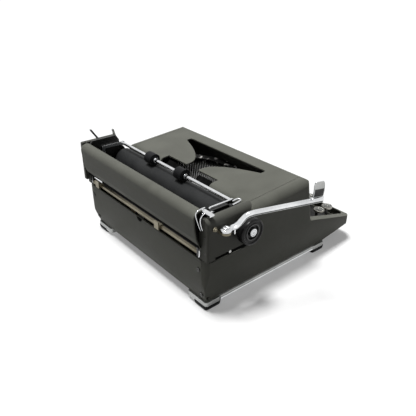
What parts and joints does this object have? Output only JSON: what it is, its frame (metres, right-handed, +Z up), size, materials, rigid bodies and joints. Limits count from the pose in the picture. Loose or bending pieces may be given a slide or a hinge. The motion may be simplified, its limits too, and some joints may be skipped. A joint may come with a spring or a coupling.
{
  "type": "manual typewriter",
  "caption": "Portable manual typewriter with a hinged ribbon cover over a fan of typebars, round keys on levers, and a sliding carriage with platen, bail and return lever.",
  "frame": {"origin": "centre of the bounding box at the height of the table", "axes": "+X to the typist's right along the carriage, +Y from the keyboard to the rear panel, +Z up"},
  "size_m": [0.3743, 0.321, 0.1745],
  "materials": {
    "crinkle_paint": "fine crinkle, dark olive grey",
    "black_enamel": "satin black",
    "chrome": "bright plated",
    "nickel": "warm worn nickel plate",
    "steel": "ground steel",
    "cast": "machined casting",
    "brass": "turned brass",
    "rubber": "black rubber",
    "black_plastic": "moulded black",
    "key": "ringed key tops on steel levers",
    "felt": "dark felt"
  },
  "bodies": {
    "machine": {"body_shell": "crinkle_paint", "rear_panel": "crinkle_paint", "rear_panel_screws": "steel", "base_trim": "chrome", "foot_brackets": "chrome", "rubber_feet": "rubber", "side_frames": "black_enamel", "carriage_bed": "cast", "margin_centre_stop": "black_enamel", "key_fulcrum_rod": "steel", "type_segment": "cast", "typebar_wire": "steel", "typebars": "steel", "type_rest": "felt", "type_guide": "steel", "ribbon_cups": "black_enamel", "cover_hinge_pins": "steel", "bell": "brass"},
    "cover": {"top_cover": "crinkle_paint"},
    "left_spool": {"left_ribbon_spool": "steel"},
    "right_spool": {"right_ribbon_spool": "steel"},
    "vibrator": {"ribbon_vibrator": "steel"},
    "spring_drum": {"mainspring_drum": "steel"},
    "pinion": {"escapement_pinion": "brass"},
    "number_row": {"number_row_keys": "key"},
    "upper_row": {"upper_row_keys": "key"},
    "home_row": {"home_row_keys": "key"},
    "lower_row": {"lower_row_keys": "key"},
    "struck_key": {"strike_key": "key"},
    "struck_typebar": {"active_typebar": "steel"},
    "space": {"space_bar": "black_plastic"},
    "shift": {"shift_keys": "key"},
    "tabulator": {"tab_key": "key"},
    "backspace": {"backspace_key": "key"},
    "carriage": {"carriage_beam": "black_enamel", "escapement_rack": "steel", "left_end_frame": "black_enamel", "right_end_frame": "black_enamel", "left_end_casing": "crinkle_paint", "right_end_casing": "crinkle_paint", "paper_table": "crinkle_paint", "margin_rail": "nickel", "lever_pivot_post": "chrome"},
    "platen": {"platen_roller": "rubber", "platen_shaft": "steel", "left_knob": "black_plastic", "right_knob": "black_plastic", "line_space_ratchet": "steel"},
    "spacer_button": {"variable_spacer_button": "chrome"},
    "front_feed": {"front_feed_roller": "rubber"},
    "rear_feed": {"rear_feed_roller": "rubber"},
    "bail": {"paper_bail": "chrome"},
    "bail_roller_l": {"left_bail_roller": "rubber"},
    "bail_roller_r": {"right_bail_roller": "rubber"},
    "lever": {"return_lever": "chrome"},
    "stop_l": {"left_margin_stop": "nickel"},
    "stop_r": {"right_margin_stop": "nickel"},
    "release_l": {"left_carriage_release": "chrome"},
    "release_r": {"right_carriage_release": "chrome"},
    "paper_release": {"paper_release_lever": "chrome"}
  },
  "joints": [
    {"name": "cover_lift", "type": "hinge", "parent": "machine", "child": "cover", "pos_m": [0.01717, -0.0335, 0.132], "axis": [1, 0, 0], "range_deg": [0, 75]},
    {"name": "left_spool_turn", "type": "hinge", "parent": "machine", "child": "left_spool", "pos_m": [-0.09682, 0.0095, 0.1], "axis": [0, 0, 1], "continuous": true},
    {"name": "right_spool_turn", "type": "hinge", "parent": "machine", "child": "right_spool", "pos_m": [0.13118, 0.0095, 0.1], "axis": [0, 0, 1], "continuous": true},
    {"name": "strike_key_press", "type": "hinge", "parent": "machine", "child": "struck_key", "pos_m": [0.01717, 0.0945, 0.03], "axis": [1, 0, 0], "range_deg": [0, 3], "stiffness_Nm_per_rad": 0.6, "springref_deg": -11.46},
    {"name": "typebar_swing", "type": "hinge", "parent": "machine", "child": "struck_typebar", "pos_m": [0.01717, 0.0225, 0.062], "axis": [-1, 0, 0], "range_deg": [0, 76]},
    {"name": "vibrator_rise", "type": "slide", "parent": "machine", "child": "vibrator", "axis": [0, 0, 1], "range_m": [0, 0.01]},
    {"name": "number_row_press", "type": "hinge", "parent": "machine", "child": "number_row", "pos_m": [0.01717, 0.0945, 0.03], "axis": [1, 0, 0], "range_deg": [0, 3.4], "stiffness_Nm_per_rad": 3, "springref_deg": -11.46},
    {"name": "upper_row_press", "type": "hinge", "parent": "machine", "child": "upper_row", "pos_m": [0.01717, 0.0945, 0.03], "axis": [1, 0, 0], "range_deg": [0, 3.1], "stiffness_Nm_per_rad": 3, "springref_deg": -11.46},
    {"name": "home_row_press", "type": "hinge", "parent": "machine", "child": "home_row", "pos_m": [0.01717, 0.0945, 0.03], "axis": [1, 0, 0], "range_deg": [0, 2.9], "stiffness_Nm_per_rad": 3, "springref_deg": -11.46},
    {"name": "lower_row_press", "type": "hinge", "parent": "machine", "child": "lower_row", "pos_m": [0.01717, 0.0945, 0.03], "axis": [1, 0, 0], "range_deg": [0, 2.7], "stiffness_Nm_per_rad": 3.2, "springref_deg": -11.46},
    {"name": "space_bar_press", "type": "hinge", "parent": "machine", "child": "space", "pos_m": [0.01717, 0.0945, 0.03], "axis": [1, 0, 0], "range_deg": [0, 2.3], "stiffness_Nm_per_rad": 1.2, "springref_deg": -11.46},
    {"name": "shift_press", "type": "hinge", "parent": "machine", "child": "shift", "pos_m": [0.01717, 0.0945, 0.03], "axis": [1, 0, 0], "range_deg": [0, 2.9], "stiffness_Nm_per_rad": 1.5, "springref_deg": -11.46},
    {"name": "tab_press", "type": "hinge", "parent": "machine", "child": "tabulator", "pos_m": [0.01717, 0.0945, 0.03], "axis": [1, 0, 0], "range_deg": [0, 3.1], "stiffness_Nm_per_rad": 0.6, "springref_deg": -11.46},
    {"name": "backspace_press", "type": "hinge", "parent": "machine", "child": "backspace", "pos_m": [0.01717, 0.0945, 0.03], "axis": [1, 0, 0], "range_deg": [0, 3.1], "stiffness_Nm_per_rad": 0.6, "springref_deg": -11.46},
    {"name": "carriage_slide", "type": "slide", "parent": "machine", "child": "carriage", "axis": [1, 0, 0], "range_m": [-0.105, 0.105]},
    {"name": "drum_turn", "type": "hinge", "parent": "machine", "child": "spring_drum", "pos_m": [0.11217, 0.1135, 0.05], "axis": [0, 0, 1], "range_deg": [-302, 302]},
    {"name": "pinion_turn", "type": "hinge", "parent": "machine", "child": "pinion", "pos_m": [0.04718, 0.14075, 0.077], "axis": [0, 1, 0], "range_deg": [-1205, 1205]},
    {"name": "platen_turn", "type": "hinge", "parent": "carriage", "child": "platen", "pos_m": [0.01717, 0.0895, 0.114], "axis": [1, 0, 0], "continuous": true},
    {"name": "spacer_press", "type": "slide", "parent": "platen", "child": "spacer_button", "axis": [1, 0, 0], "range_m": [0, 0.002], "stiffness_N_per_m": 200, "springref_m": -0.002},
    {"name": "front_feed_turn", "type": "hinge", "parent": "carriage", "child": "front_feed", "pos_m": [0.01717, 0.07941, 0.09134], "axis": [1, 0, 0], "continuous": true},
    {"name": "rear_feed_turn", "type": "hinge", "parent": "carriage", "child": "rear_feed", "pos_m": [0.01717, 0.1019, 0.09252], "axis": [1, 0, 0], "continuous": true},
    {"name": "bail_lift", "type": "hinge", "parent": "carriage", "child": "bail", "pos_m": [0.01717, 0.1275, 0.128], "axis": [1, 0, 0], "range_deg": [-50, 0]},
    {"name": "left_bail_roller_turn", "type": "hinge", "parent": "bail", "child": "bail_roller_l", "pos_m": [-0.00683, 0.08998, 0.1418], "axis": [1, 0, 0], "continuous": true},
    {"name": "right_bail_roller_turn", "type": "hinge", "parent": "bail", "child": "bail_roller_r", "pos_m": [0.06717, 0.08998, 0.1418], "axis": [1, 0, 0], "continuous": true},
    {"name": "return_lever_swing", "type": "hinge", "parent": "carriage", "child": "lever", "pos_m": [-0.14433, 0.1275, 0.13], "axis": [0, 0, 1], "range_deg": [0, 22], "stiffness_Nm_per_rad": 0.4, "springref_deg": -11.46},
    {"name": "left_margin_slide", "type": "slide", "parent": "carriage", "child": "stop_l", "axis": [1, 0, 0], "range_m": [-0.07, 0.035]},
    {"name": "right_margin_slide", "type": "slide", "parent": "carriage", "child": "stop_r", "axis": [1, 0, 0], "range_m": [-0.09, 0.004]},
    {"name": "left_release_pull", "type": "hinge", "parent": "carriage", "child": "release_l", "pos_m": [-0.11832, 0.1275, 0.138], "axis": [1, 0, 0], "range_deg": [0, 15], "stiffness_Nm_per_rad": 0.05, "springref_deg": -11.46},
    {"name": "right_release_pull", "type": "hinge", "parent": "carriage", "child": "release_r", "pos_m": [0.15268, 0.1275, 0.138], "axis": [1, 0, 0], "range_deg": [0, 15], "stiffness_Nm_per_rad": 0.05, "springref_deg": -11.46},
    {"name": "paper_release_pull", "type": "hinge", "parent": "carriage", "child": "paper_release", "pos_m": [0.15268, 0.1055, 0.131], "axis": [1, 0, 0], "range_deg": [0, 20], "stiffness_Nm_per_rad": 0.05, "springref_deg": -11.46}
  ],
  "couplings": [
    {"joint": "typebar_swing", "follows": "strike_key_press", "ratio": 25.333},
    {"joint": "vibrator_rise", "follows": "strike_key_press", "m_per_rad": 0.19098},
    {"joint": "right_spool_turn", "follows": "left_spool_turn", "ratio": 1},
    {"joint": "drum_turn", "follows": "carriage_slide", "rad_per_m": 50},
    {"joint": "pinion_turn", "follows": "carriage_slide", "rad_per_m": 200},
    {"joint": "front_feed_turn", "follows": "platen_turn", "ratio": -3.0833},
    {"joint": "rear_feed_turn", "follows": "platen_turn", "ratio": -3.0833}
  ]
}
